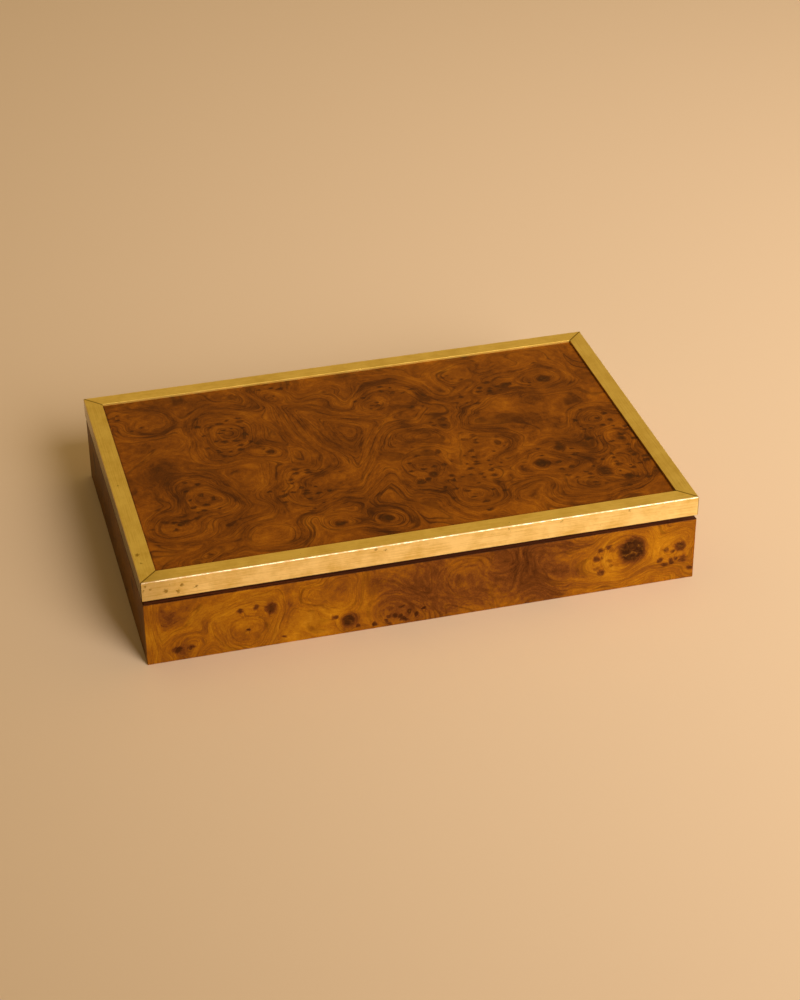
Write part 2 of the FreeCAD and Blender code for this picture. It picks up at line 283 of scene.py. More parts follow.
def growth_rings(tree, across_mm, flat, bent, leaf, moat):
    """The growth of the wood, whose level lines are its rings: a hill at each eye, swirl and knot.

    Also gives how thickly buds crowd at a place, and how far it is from the dark ring of a large eye.
    """
    plain = put(tree, "ShaderNodeTexNoise", {"Vector": bent, "Scale": 1 / GROWTH_MM, "Detail": 1})
    growth = put(tree, "ShaderNodeMath", {0: plain.outputs[0], 1: GROWTH_RANGE},
                 operation="MULTIPLY").outputs[0]
    crowding = put(tree, "ShaderNodeMath", {0: 0, 1: 0}, operation="ADD").outputs[0]
    from_moat = put(tree, "ShaderNodeMath", {0: 1, 1: 0}, operation="ADD").outputs[0]
    for x, y, reach, rise, buds in leaf["eyes"]:
        rings = hill(tree, bent, (x, y), EYE_FLAT * reach, EYE_FOOT * reach, 1)
        growth = put(tree, "ShaderNodeMath", {0: rings, 1: rise, 2: growth},
                     operation="MULTIPLY_ADD").outputs[0]
        if buds:
            crowding = put(tree, "ShaderNodeMath", {0: rings, 1: buds, 2: crowding},
                           operation="MULTIPLY_ADD").outputs[0]
        if moat and reach > MOAT_EYE_MM:
            half_way = put(tree, "ShaderNodeMath", {0: rings, 1: 2, 2: -1}, operation="MULTIPLY_ADD")
            half_way = put(tree, "ShaderNodeMath", {0: half_way.outputs[0]}, operation="ABSOLUTE")
            from_moat = put(tree, "ShaderNodeMath", {0: half_way.outputs[0], 1: from_moat},
                            operation="MINIMUM").outputs[0]
    for x, y, reach, rise, degrees in leaf.get("swirls", ()):
        wavering = drift(tree, flat, SWIRL_BEND_MM, SWIRL_BEND_REACH_MM)
        from_centre = put(tree, "ShaderNodeVectorMath", {0: wavering, 1: (x, y, 0)}, operation="SUBTRACT")
        edge = None
        for facing in degrees:
            normal = (math.cos(math.radians(facing)), math.sin(math.radians(facing)), 0)
            side = put(tree, "ShaderNodeVectorMath", {0: from_centre.outputs[0], 1: normal},
                       operation="DOT_PRODUCT").outputs["Value"]
            if edge is None:
                edge = side
            else:
                edge = put(tree, "ShaderNodeMath", {0: edge, 1: side, 2: SWIRL_CORNER_MM},
                           operation="SMOOTH_MAX").outputs[0]
        nest = put(tree, "ShaderNodeMapRange",
                   {"Value": edge, "From Min": 0, "From Max": reach, "To Min": rise, "To Max": 0})
        growth = put(tree, "ShaderNodeMath", {0: nest.outputs[0], 1: growth}, operation="ADD").outputs[0]
    for x, y, radius in leaf["knots"]:
        knot_rise = min(KNOT_RISE_MOST, KNOT_RISE_PER_MM * radius)
        swell = hill(tree, bent, (x, y), 0, KNOT_FOOT * radius, knot_rise)
        growth = put(tree, "ShaderNodeMath", {0: swell, 1: growth}, operation="ADD").outputs[0]
    if "edge_grain" in leaf:
        start, end, rise = leaf["edge_grain"]
        straight = put(tree, "ShaderNodeMapRange",
                       {"Value": across_mm, "From Min": start, "From Max": end,
                        "To Min": rise, "To Max": 0}).outputs[0]
        growth = put(tree, "ShaderNodeMath", {0: straight, 1: growth}, operation="ADD").outputs[0]
    return growth, crowding, from_moat


def buds_and_knots(tree, ruffled, crowding, leaf, look):
    """The dark cores of buds and knots, and the brown halo round each of them."""
    crowd = put(tree, "ShaderNodeMapRange", {"Value": crowding, "From Min": 0.45, "From Max": 0.85},
                interpolation_type="SMOOTHSTEP").outputs[0]
    oval = put(tree, "ShaderNodeVectorMath", {0: ruffled, 1: (BUD_LENGTHENED, 1, 1)}, operation="MULTIPLY")
    bud = put(tree, "ShaderNodeTexVoronoi",
              {"Vector": oval.outputs[0], "Scale": 1 / BUD_SPACING_MM, "Randomness": 1.0},
              voronoi_dimensions="2D")
    chance = put(tree, "ShaderNodeSeparateColor", {0: bud.outputs["Color"]})
    kept = put(tree, "ShaderNodeMath", {0: chance.outputs[0], 1: 1 - look["bud_share"]},
               operation="GREATER_THAN").outputs[0]
    kept = put(tree, "ShaderNodeMath", {0: kept, 1: crowd}, operation="MULTIPLY").outputs[0]
    size = put(tree, "ShaderNodeMapRange", {"Value": chance.outputs[1], "To Min": 0.10, "To Max": 0.24})
    away = put(tree, "ShaderNodeMath", {0: bud.outputs["Distance"], 1: size.outputs[0]},
               operation="DIVIDE").outputs[0]
    core = put(tree, "ShaderNodeMapRange",
               {"Value": away, "From Min": 0.3, "From Max": 1.3, "To Min": look["bud_depth"], "To Max": 0},
               interpolation_type="SMOOTHSTEP").outputs[0]
    halo = put(tree, "ShaderNodeMapRange",
               {"Value": away, "From Min": 0.8, "From Max": 2.4, "To Min": 0.3, "To Max": 0},
               interpolation_type="SMOOTHSTEP").outputs[0]
    core = put(tree, "ShaderNodeMath", {0: core, 1: kept}, operation="MULTIPLY").outputs[0]
    halo = put(tree, "ShaderNodeMath", {0: halo, 1: kept}, operation="MULTIPLY").outputs[0]
    for x, y, radius in leaf["knots"]:
        depth = look["knot_depth"] * min(1, 0.25 + 0.22 * radius)     # small knots are paler
        heart_inner = max(0.3 * radius, radius - KNOT_SOFT_INSIDE_MM)
        heart_outer = min(1.2 * radius, radius + KNOT_SOFT_OUTSIDE_MM)
        heart = hill(tree, ruffled, (x, y), heart_inner, heart_outer, depth)
        core = put(tree, "ShaderNodeMath", {0: heart, 1: core}, operation="MAXIMUM").outputs[0]
        stain_outer = min(2.2 * radius, radius + KNOT_STAIN_MM)
        stain = hill(tree, ruffled, (x, y), 0.8 * radius, stain_outer, 0.4)
        halo = put(tree, "ShaderNodeMath", {0: stain, 1: halo}, operation="MAXIMUM").outputs[0]
    return core, halo


def along_rings(tree, bent, growth, length_mm, count):
    """A place that changes slowly along a growth ring, and count times over one unit of growth."""
    wide = put(tree, "ShaderNodeVectorMath", {0: bent, 1: (1 / length_mm, 1 / length_mm, 0)},
               operation="MULTIPLY")
    rings = put(tree, "ShaderNodeMath", {0: growth, 1: count}, operation="MULTIPLY")
    deep = put(tree, "ShaderNodeCombineXYZ", {2: rings.outputs[0]})
    return put(tree, "ShaderNodeVectorMath", {0: wide.outputs[0], 1: deep.outputs[0]},
               operation="ADD").outputs[0]


def burl(name, across, up, leaf, look, shade_and_dirt):
    """Burl in the plane of two Object axes. A leaf's places, reaches and radii are in millimetres.

    eyes are (across, up, reach, rise, buds): rings that close round a place, and how thickly buds crowd.
    knots are (across, up, radius), dark and single.
    tones are (across, up, reach, lift): paler or darker areas.
    swirls are (across, up, reach, rise, degrees): nested corners with straight sides that face those ways.
    edge_grain is (start, end, rise): grain that runs straight along one end.
    shade_and_dirt is (axis, edge, inside, depth): a darker line along an edge of the panel, painted shade,
    with some dirt on the lid.
    """
    material, tree, shader = new_material(name)
    axes = put(tree, "ShaderNodeSeparateXYZ", {0: millimetres(tree)})
    flat = put(tree, "ShaderNodeCombineXYZ", {0: axes.outputs[across], 1: axes.outputs[up]}).outputs[0]
    bent = drift(tree, drift(tree, flat, BEND_MM, BEND_REACH_MM), RIPPLE_MM, look["ripple_reach_mm"])
    ruffled = drift(tree, drift(tree, flat, CURL_MM, CURL_REACH_MM), FRAY_MM, FRAY_REACH_MM)
    growth, crowding, from_moat = growth_rings(tree, axes.outputs[across], flat, bent, leaf, look["moat"])
    core, halo = buds_and_knots(tree, ruffled, crowding, leaf, look)

    # Tone: bands about 4 mm wide, fibres that run along them, clouds and pores, then the listed places.
    bands = along_rings(tree, bent, growth, BAND_LENGTH_MM, BANDS_PER_GROWTH)
    band = put(tree, "ShaderNodeTexNoise",
               {"Vector": bands, "Scale": 1, "Detail": 2.5, "Roughness": 0.55}).outputs[0]
    years = along_rings(tree, bent, growth, LINE_LENGTH_MM, LINES_PER_GROWTH)
    year = put(tree, "ShaderNodeTexNoise", {"Vector": years, "Scale": 1, "Detail": 0.5}).outputs[0]
    fibres = along_rings(tree, bent, growth, FIBRE_LENGTH_MM, FIBRES_PER_GROWTH)
    fibre = put(tree, "ShaderNodeTexNoise",
                {"Vector": fibres, "Scale": 1, "Detail": 3, "Roughness": 0.65}).outputs[0]
    cloud = put(tree, "ShaderNodeTexNoise",
                {"Vector": bent, "Scale": 1 / CLOUD_MM, "Detail": 3, "Roughness": 0.55}).outputs[0]
    pores = put(tree, "ShaderNodeTexNoise",
                {"Vector": ruffled, "Scale": 1 / PORE_MM, "Detail": 2, "Roughness": 0.6}).outputs[0]
    shares = ((look["figure"], band), (FIBRE_SHARE, fibre), (CLOUD_SHARE, cloud), (PORE_SHARE, pores))
    level = 0.5 - sum(share for share, source in shares) / 2
    tone = put(tree, "ShaderNodeMath", {0: halo, 1: -1.0, 2: level}, operation="MULTIPLY_ADD").outputs[0]
    for share, source in shares:
        tone = put(tree, "ShaderNodeMath", {0: source, 1: share, 2: tone},
                   operation="MULTIPLY_ADD").outputs[0]
    if look["moat"]:
        broken = put(tree, "ShaderNodeMapRange",
                     {"Value": cloud, "From Min": 0.35, "From Max": 0.6,
                      "To Min": -look["moat"], "To Max": 0})
        dark_ring = put(tree, "ShaderNodeMapRange",
                        {"Value": from_moat, "From Max": 0.8, "To Min": 1, "To Max": 0},
                        interpolation_type="SMOOTHSTEP")
        tone = put(tree, "ShaderNodeMath", {0: dark_ring.outputs[0], 1: broken.outputs[0], 2: tone},
                   operation="MULTIPLY_ADD").outputs[0]
    for x, y, reach, lift in leaf["tones"]:
        area = hill(tree, bent, (x, y), 0, reach, lift)
        tone = put(tree, "ShaderNodeMath", {0: area, 1: tone}, operation="ADD").outputs[0]
    # Darker lines along the given edges: painted shade, and on the lid some dirt as well.
    for axis, edge, inside, depth in shade_and_dirt:
        darkening = put(tree, "ShaderNodeMapRange",
                   {"Value": axes.outputs[axis], "From Min": edge, "From Max": inside,
                    "To Min": -depth, "To Max": 0},
                   interpolation_type="SMOOTHSTEP")
        tone = put(tree, "ShaderNodeMath", {0: darkening.outputs[0], 1: tone}, operation="ADD").outputs[0]

    # Colour: the palette by tone, a reddish blush, thin dark lines where a year ends, then buds and knots.
    wood = put(tree, "ShaderNodeValToRGB", {0: tone}, stops=look["palette"]).outputs[0]
    warm = put(tree, "ShaderNodeTexNoise", {"Vector": ruffled, "Scale": 1 / BLUSH_MM, "Detail": 3})
    blush = put(tree, "ShaderNodeMapRange",
                {"Value": warm.outputs[0], "From Min": 0.45, "From Max": 0.75,
                 "To Min": 0, "To Max": 0.4}).outputs[0]
    blush_colour = look["palette"][1][1]
    wood = put(tree, "ShaderNodeMix", {0: blush, 6: wood, 7: linear(blush_colour)},
               data_type="RGBA").outputs[2]
    off_line = put(tree, "ShaderNodeMath", {0: year, 1: 0.5}, operation="SUBTRACT")
    off_line = put(tree, "ShaderNodeMath", {0: off_line.outputs[0]}, operation="ABSOLUTE").outputs[0]
    line = put(tree, "ShaderNodeMapRange",
               {"Value": off_line, "From Min": 0.006, "From Max": 0.042,
                "To Min": look["lines"], "To Max": 0},
               interpolation_type="SMOOTHSTEP").outputs[0]
    fade = put(tree, "ShaderNodeMapRange",
               {"Value": cloud, "From Min": 0.4, "From Max": 0.65, "To Min": 1, "To Max": 0.35}).outputs[0]
    line = put(tree, "ShaderNodeMath", {0: line, 1: fade}, operation="MULTIPLY").outputs[0]
    lined = put(tree, "ShaderNodeMix", {0: line, 6: wood, 7: linear(LINE_COLOUR)},
                data_type="RGBA").outputs[2]
    pith = put(tree, "ShaderNodeTexNoise", {"Vector": ruffled, "Scale": 1 / PITH_MM, "Detail": 3})
    heartwood = put(tree, "ShaderNodeValToRGB", {0: pith.outputs[0]}, stops=HEARTWOOD).outputs[0]
    budded = put(tree, "ShaderNodeMix", {0: core, 6: lined, 7: heartwood}, data_type="RGBA").outputs[2]
    tree.links.new(budded, shader.inputs["Base Color"])
    bump = put(tree, "ShaderNodeBump", {"Height": tone, "Strength": 0.06, "Distance": 0.0001})
    tree.links.new(bump.outputs[0], shader.inputs["Normal"])
    gloss = put(tree, "ShaderNodeMapRange", {"Value": cloud, "To Min": 0.34, "To Max": 0.46})
    tree.links.new(gloss.outputs[0], shader.inputs["Roughness"])
    shader.inputs["IOR"].default_value = 1.42
    shader.inputs["Specular IOR Level"].default_value = 0.06
    return material


WALL_LOOK = {
    "palette": [(0.0, "#3A1A04"), (0.28, "#6C3910"), (0.5, "#93550B"), (0.72, "#B1710E"), (1.0, "#CB9226")],
    "figure": 0.6,            # strength of the bands
    "lines": 0.42,            # strength of the dark lines
    "ripple_reach_mm": 2.6,   # how far the rings waver
    "moat": 0,                # depth of the dark ring round a large eye
    "bud_share": 0.5,         # how many of the buds show where they crowd
    "bud_depth": 0.47,
    "knot_depth": 0.85,
}
# The left wall's palette is darker than the others': painted shade on the side away from the light.
LEFT_SHADED_LOOK = {
    **WALL_LOOK,
    "palette": [(0.0, "#301A02"), (0.28, "#573203"), (0.5, "#784A03"), (0.72, "#926005"), (1.0, "#A8740A")],
}
FRONT_LEAF = {
    "eyes": [
        (91, 19, 15, 1.0, 0), (79, 16, 13, 1.0, 0.7), (113, 17, 9, 0.9, 0.4), (106, 10, 7, 0.4, 0.8),
        (118, 5, 7, 0.4, 0.8), (-77, 10, 15, 1.1, 0), (-100, 5, 6, 0.5, 0), (-106, 6, 8, 0.4, 0.5),
        (-10, 4, 13, 0.5, 0.8), (-50, 21, 6, 0.5, 0), (18, 16, 13, 0.5, 0), (56, 20, 16, 0.8, 0),
        (35, 8, 12, 0.5, 0), (-38, 22, 10, 0.4, 0.3),
    ],
    "knots": [
        (91, 19, 5.6), (113, 17, 1.6), (-34, 6, 2.8), (-67, 19, 1.7), (-80, 20, 0.9), (-73, 20, 0.9),
        (-77, 10, 0.6), (-107, 5, 1.2), (-101, 6, 0.8), (-40, 9, 0.8), (77, 21, 0.9), (80.5, 22, 0.8),
        (75, 17, 1.0), (77, 10, 1.1), (104, 11.5, 0.9), (109, 10, 0.9), (118, 5, 0.9), (-18, 3, 0.6),
        (-14.5, 5, 0.6), (-11, 3, 0.7), (-8, 6, 0.6), (-4.5, 4, 0.6), (-1.5, 6.5, 0.6), (-30, 3, 0.6),
        (-23, 2.5, 0.7), (-62, 3, 0.6),
    ],
    "tones": [
        (5, 16, 34, -0.22), (45, 18, 34, -0.29), (-14, 20, 20, -0.16), (-108, 22, 10, -0.25),
        (-105, 6, 6, -0.2), (-75, 14, 36, 0.07), (-45, 10, 20, 0.18), (78, 14, 16, 0.14),
        (104, 20, 16, 0.12), (-118, 15, 8, 0.15),
    ],
    "edge_grain": (-120, -113, 1.2),
}
REAR_LEAF = {
    "eyes": [
        (-98, 17, 14, 0.8, 0.5), (-72, 9, 12, 0.6, 0.9), (-45, 20, 14, 0.6, 0.2), (-15, 8, 13, 0.5, 0.8),
        (14, 20, 17, 0.8, 0.4), (44, 9, 12, 0.5, 0.9), (70, 19, 13, 0.6, 0.3), (100, 10, 13, 0.8, 0.8),
    ],
    "knots": [(-98, 17, 3.2), (14, 20, 2.0), (100, 10, 2.4)],
    "tones": [(-60, 14, 34, -0.15), (30, 15, 34, 0.08), (90, 15, 26, -0.10)],
}
LEFT_LEAF = {
    "eyes": [
        (58, 18, 14, 1.1, 0.8), (34, 8, 11, 0.8, 0.9), (8, 20, 16, 1.2, 0.3), (-22, 9, 13, 0.9, 0.8),
        (-48, 20, 13, 1.0, 0.6), (-66, 7, 9, 0.7, 0.9),
    ],
    "knots": [(58, 19, 2.4), (-48, 21, 1.8)],
    "tones": [(20, 14, 26, -0.12), (-40, 14, 22, 0.08)],
}
RIGHT_LEAF = {
    "eyes": [
        (-60, 9, 13, 0.8, 0.8), (-35, 21, 12, 0.6, 0.7), (-8, 10, 15, 0.8, 0.2), (22, 19, 13, 0.7, 0.9),
        (45, 8, 11, 0.5, 0.8), (66, 20, 12, 0.8, 0.5),
    ],
    "knots": [(-8, 10, 2.2), (66, 20, 2.6)],
    "tones": [(-20, 16, 26, 0.08), (50, 14, 24, -0.14)],
}
WALL_TOP_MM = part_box("front_wall_veneer")[1].z * 1000
# A darker line along the top of every wall veneer: painted shade under the lid's brass frame.
WALL_TOP_SHADE_MM = 0.5
WALL_TOP_SHADE_DEPTH = 0.55
WALL_TOP_SHADE = [("Z", WALL_TOP_MM, WALL_TOP_MM - WALL_TOP_SHADE_MM, WALL_TOP_SHADE_DEPTH)]
for side, across, leaf, look in (
    ("front", "X", FRONT_LEAF, WALL_LOOK),
    ("rear", "X", REAR_LEAF, WALL_LOOK),
    ("left", "Y", LEFT_LEAF, LEFT_SHADED_LOOK),
    ("right", "Y", RIGHT_LEAF, WALL_LOOK),
):
    finish_node(f"{side}_wall_veneer", burl(f"lacquered burl {side}", across, "Z", leaf, look, WALL_TOP_SHADE))

# Lining strips
# Mahogany strips mitred round the inside of the tray and glued in. Oil gives them a soft red-brown sheen.
# Their lip stands up through the gap and carries the lid.
LINING_WOOD = {"dark": "#2E1206", "light": "#5E2A10", "ring_mm": 2.2, "roughness": 0.42}
LINING_LONG = stained_wood("oiled mahogany lining", along="X", **LINING_WOOD)
LINING_SHORT = stained_wood("oiled mahogany lining, short sides", along="Y", **LINING_WOOD)
for side in SIDES:
    finish_node(f"{side}_lining", LINING_LONG if side in ("front", "rear") else LINING_SHORT)

# Felts
# Green wool felt, cut to size: one sheet laid on the floor of the tray, one let in flush under the base. Its
# matted fibres give a dull, slightly uneven face.
FELT_FIBRE_MM = 0.9       # tufts of fibre, drawn coarse enough to show
FELT_WORN_MM = 30
FELT_WORN_SHARE = 0.4


def wool_felt(name, dark, light):
    """Pressed wool: matted fibres a fraction of a millimetre wide, with a soft sheen."""
    material, tree, shader = new_material(name)
    place = millimetres(tree)
    mat = put(tree, "ShaderNodeTexNoise",
              {"Vector": place, "Scale": 1 / FELT_FIBRE_MM, "Detail": 6, "Roughness": 0.75,
               "Distortion": 1.2})
    worn = put(tree, "ShaderNodeTexNoise", {"Vector": place, "Scale": 1 / FELT_WORN_MM, "Detail": 2})
    mixed = put(tree, "ShaderNodeMath", {0: worn.outputs[0], 1: FELT_WORN_SHARE, 2: mat.outputs[0]},
                operation="MULTIPLY_ADD")
    colour = put(tree, "ShaderNodeValToRGB", {0: mixed.outputs[0]}, stops=[(0.45, dark), (0.95, light)])
    bump = put(tree, "ShaderNodeBump", {"Height": mat.outputs[0], "Strength": 0.6, "Distance": 0.0003})
    tree.links.new(colour.outputs[0], shader.inputs["Base Color"])
    tree.links.new(bump.outputs[0], shader.inputs["Normal"])
    shader.inputs["Roughness"].default_value = 0.95
    shader.inputs["Specular IOR Level"].default_value = 0.15
    shader.inputs["Sheen Weight"].default_value = 0.1
    shader.inputs["Sheen Roughness"].default_value = 0.5
    return material


FELT = wool_felt("bottle green wool felt", "#14240C", "#2F4A1E")
FELT_CELLS = (72, 46)
FELT_UNEVEN = 0.00012     # how far the cut sheet rises and falls
FELT_TUCK = 0.00006       # kept clear of the solids on every side
FELT_SMOOTH_BELOW = math.radians(40)


def felt_sheet(name, node, uneven_top):
    """A cut sheet in the place of a felt slab: a grid with thickness, uneven on the side that shows."""
    low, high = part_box(node)
    random.seed(name)
    bpy.ops.object.select_all(action="DESELECT")
    bpy.ops.mesh.primitive_grid_add(x_subdivisions=FELT_CELLS[0], y_subdivisions=FELT_CELLS[1], size=1)
    sheet = bpy.context.object
    sheet.name = name
    width = high.x - low.x - 2 * FELT_TUCK
    length = high.y - low.y - 2 * FELT_TUCK
    seat = low.z + FELT_TUCK if uneven_top else high.z - FELT_TUCK
    thick = high.z - low.z - 2 * FELT_TUCK - FELT_UNEVEN
    bpy.ops.object.mode_set(mode="EDIT")
    bpy.ops.mesh.select_all(action="SELECT")
    bpy.ops.transform.resize(value=(width, length, 1))
    bpy.ops.transform.translate(value=((low.x + high.x) / 2, (low.y + high.y) / 2, seat))
    rise = thick if uneven_top else -thick
    bpy.ops.mesh.extrude_region_move(TRANSFORM_OT_translate={"value": (0, 0, rise)})
    bpy.ops.mesh.select_all(action="SELECT")
    bpy.ops.mesh.normals_make_consistent(inside=False)
    bpy.ops.object.mode_set(mode="OBJECT")
    for vertex in sheet.data.vertices:
        if abs(vertex.co.z - seat) > thick / 2:
            lift = random.random() * FELT_UNEVEN
            vertex.co.z += lift if uneven_top else -lift
    bpy.ops.object.shade_smooth_by_angle(angle=FELT_SMOOTH_BELOW)
    sheet.data.materials.append(FELT)
    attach(sheet, "base")
    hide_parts(node)


felt_sheet("tray_felt_sheet", "floor_felt", uneven_top=True)
felt_sheet("underside_felt_sheet", "base_felt", uneven_top=False)

# Lid board and backing veneer
# A bare board, balanced with a straight-grained mahogany veneer glued underneath. The veneer shows when the
# lid is up, with a plain satin finish.
BOARD = stained_wood("bare lid board", "#8A6238", "#B88C58", "X", ring_mm=3.0, roughness=0.7)
BACKING = stained_wood("satin mahogany backing", "#3A170A", "#6E3416", "X", ring_mm=3.2, roughness=0.36)
finish_node("lid_board", BOARD)
finish_node("lid_backing_veneer", BACKING)

# Burl panel of the lid
# The best leaf of the burl, glued full size on the board under the brass frame and lacquered with it. It is
# darker and redder than the walls, with stronger lines, many more eyes and one straight-sided swirl.
LID_LOOK = {
    "palette": [(0.0, "#3C1C03"), (0.3, "#5F2E04"), (0.5, "#804206"), (0.7, "#9A5509"), (1.0, "#B57014")],
    "figure": 0.75,
    "lines": 0.68,
    "ripple_reach_mm": 1.4,
    "moat": 0.22,
    "bud_share": 0.38,
    "bud_depth": 0.48,
    "knot_depth": 0.58,
}
LID_LEAF = {
    "eyes": [
        (-62, 40, 17, 1.0, 1.0), (-64, 21, 16, 1.0, 0.9), (-94, 50, 12, 1.0, 0.5),
        (-104, 43, 8, 0.5, 0.6), (-108, 59, 8, 0.5, 0.8), (-84, -12, 14, 0.8, 0.8),
        (-80, -25, 12, 0.9, 0.9), (-99, -39, 14, 1.0, 0.9), (-37, -15, 17, 1.0, 0.8),
        (-30, -25, 14, 0.7, 0.7), (-44, -37, 12, 0.8, 0.9), (-54, -25, 8, 0.5, 0.7),
        (-47, 10, 9, 0.8, 0.6), (-12, -56, 12, 1.0, 0.6), (-31, -55, 8, 0.8, 0.6),
        (-61, -56, 15, 0.9, 0), (-82, -60, 8, 0.6, 0.6), (-92, -66, 8, 0.6, 0.7), (-13, 52, 9, 0.5, 0.5),
        (-34, 67, 13, 0.9, 0.9), (17, 46, 16, 1.1, 0.9), (6, 41, 9, 0.5, 0.8), (29, 22, 16, 1.1, 0.7),
        (36, 6, 9, 0.6, 0.7), (18, -12, 15, 1.0, 0.8), (46, -10, 14, 1.0, 0.8), (15, -30, 14, 0.9, 1.0),
        (38, -27, 11, 0.7, 0.9), (30, -42, 14, 0.9, 1.0), (31, -54, 14, 0.9, 1.0),
        (50, -37, 10, 0.7, 0.7), (65, -32, 12, 1.1, 0.6), (77, -24, 13, 0.8, 0.9),
        (88, -44, 17, 1.2, 1.0), (97, -52, 9, 0.6, 0.8), (103, -10, 16, 0.8, 1.0),
        (101, -25, 13, 0.7, 1.0), (106, -42, 13, 0.8, 1.0), (98, 3, 9, 0.5, 0.8), (89, 40, 13, 1.1, 0.7),
        (69, 41, 13, 0.8, 0.8), (53, 33, 10, 0.6, 0.9), (50, 56, 12, 0.7, 0.7), (74, -57, 14, 0.8, 0),
        (48, -67, 9, 0.6, 0.5),
    ],
    "knots": [
        (65, -32, 2.3), (89, 40, 1.9), (-12, -56, 2.0), (-31, -55, 1.5), (-47, 10, 1.2), (-96, -37, 1.1),
        (89, -45, 2.4), (77, -21, 1.7), (70, 39, 1.6), (98, -52, 1.5), (17, -28, 1.5), (10, -32, 1.4),
    ],
    "tones": [
        (70, 7, 15, -0.16), (80, 26, 15, -0.20), (98, 18, 10, -0.15), (-16, 8, 22, -0.10),
        (-100, 8, 18, -0.12), (-10, 58, 14, 0.12), (45, 64, 12, 0.12), (10, -62, 14, 0.12),
        (-85, -42, 10, 0.12), (-45, -2, 12, 0.12), (74, -46, 9, 0.14), (-68, 62, 14, -0.12),
        (42, 16, 8, 0.10), (62, 22, 12, 0.08), (-48, -52, 26, 0.14), (-95, 4, 26, -0.10), (47, 50, 18, 0.10),
        (82, -8, 26, -0.08), (-24, -6, 24, 0.05),
    ],
    "swirls": [(-9, 18, 30, 2.6, (61, 196, 328))],
}
PANEL_LEFT_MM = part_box("left_brass_edge")[1].x * 1000
PANEL_RIGHT_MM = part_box("right_brass_edge")[0].x * 1000
PANEL_FRONT_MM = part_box("front_brass_edge")[1].y * 1000
# Darker lines on the panel beside the left, right and front brass strips: painted shade, with some dirt.
END_SHADE_AND_DIRT_MM = 1.0
FRONT_SHADE_AND_DIRT_MM = 0.8
LID_SHADE_AND_DIRT_DEPTH = 0.35
LID_SHADE_AND_DIRT = [
    ("X", PANEL_LEFT_MM, PANEL_LEFT_MM + END_SHADE_AND_DIRT_MM, LID_SHADE_AND_DIRT_DEPTH),
    ("X", PANEL_RIGHT_MM, PANEL_RIGHT_MM - END_SHADE_AND_DIRT_MM, LID_SHADE_AND_DIRT_DEPTH),
    ("Y", PANEL_FRONT_MM, PANEL_FRONT_MM + FRONT_SHADE_AND_DIRT_MM, LID_SHADE_AND_DIRT_DEPTH),
]
finish_node("lid_burl_panel", burl("lacquered burl lid", "X", "Y", LID_LEAF, LID_LOOK, LID_SHADE_AND_DIRT))

# Brass angle frame
# Drawn brass angle, mitred at the corners and rubbed down with the lid: satin, with a fine grain along each
# strip. The outer arris is worn bright and carries a painted highlight, dirt sits in the mitres, and a film
# and spots of tarnish lie at the front left corner. The outer leg is painted paler on the front, as a
# highlight, and darker on the left, as shade.
BRUSHING_DRAWN_OUT = 0.02     # how much slower the brushing changes along a strip than across it
BRUSHING_MM = 0.35            # scratches, drawn coarse enough to show
BLOOM_MM = 9                  # cloudy dull patches
SPECK_MM = 1.6                # stray specks of tarnish
SPOT_EDGE_MM = 0.9            # the ragged edge of a spot, and how far it strays
SPOT_EDGE_REACH_MM = 2.4
# The bright rubs along the arris are partly a painted highlight.
RUB_HIGHLIGHT_MM = 2.8                  # the length of the bright rubs along the arris
RUB_HIGHLIGHT_REACH_MM = 1.05           # how far they reach from it, and over what width they fade
RUB_HIGHLIGHT_FADE_MM = 0.25
# The outer leg's colour is painted light: paler on the front strip as a highlight, darker on the left as
# shade.
LEG_FROM_MM = 0.3             # depths below the top between which the outer leg's own finish sets in
LEG_FULL_MM = 1.2
MITRE_DIRT_MM = 0.25          # half widths of the dirt in a mitre, full and faded
MITRE_CLEAN_MM = 0.6
# The near-white of the rubbed arris is partly a painted highlight.
RUBBED_BRASS_HIGHLIGHT = "#FFE6C0"
STAIN = "#98700A"


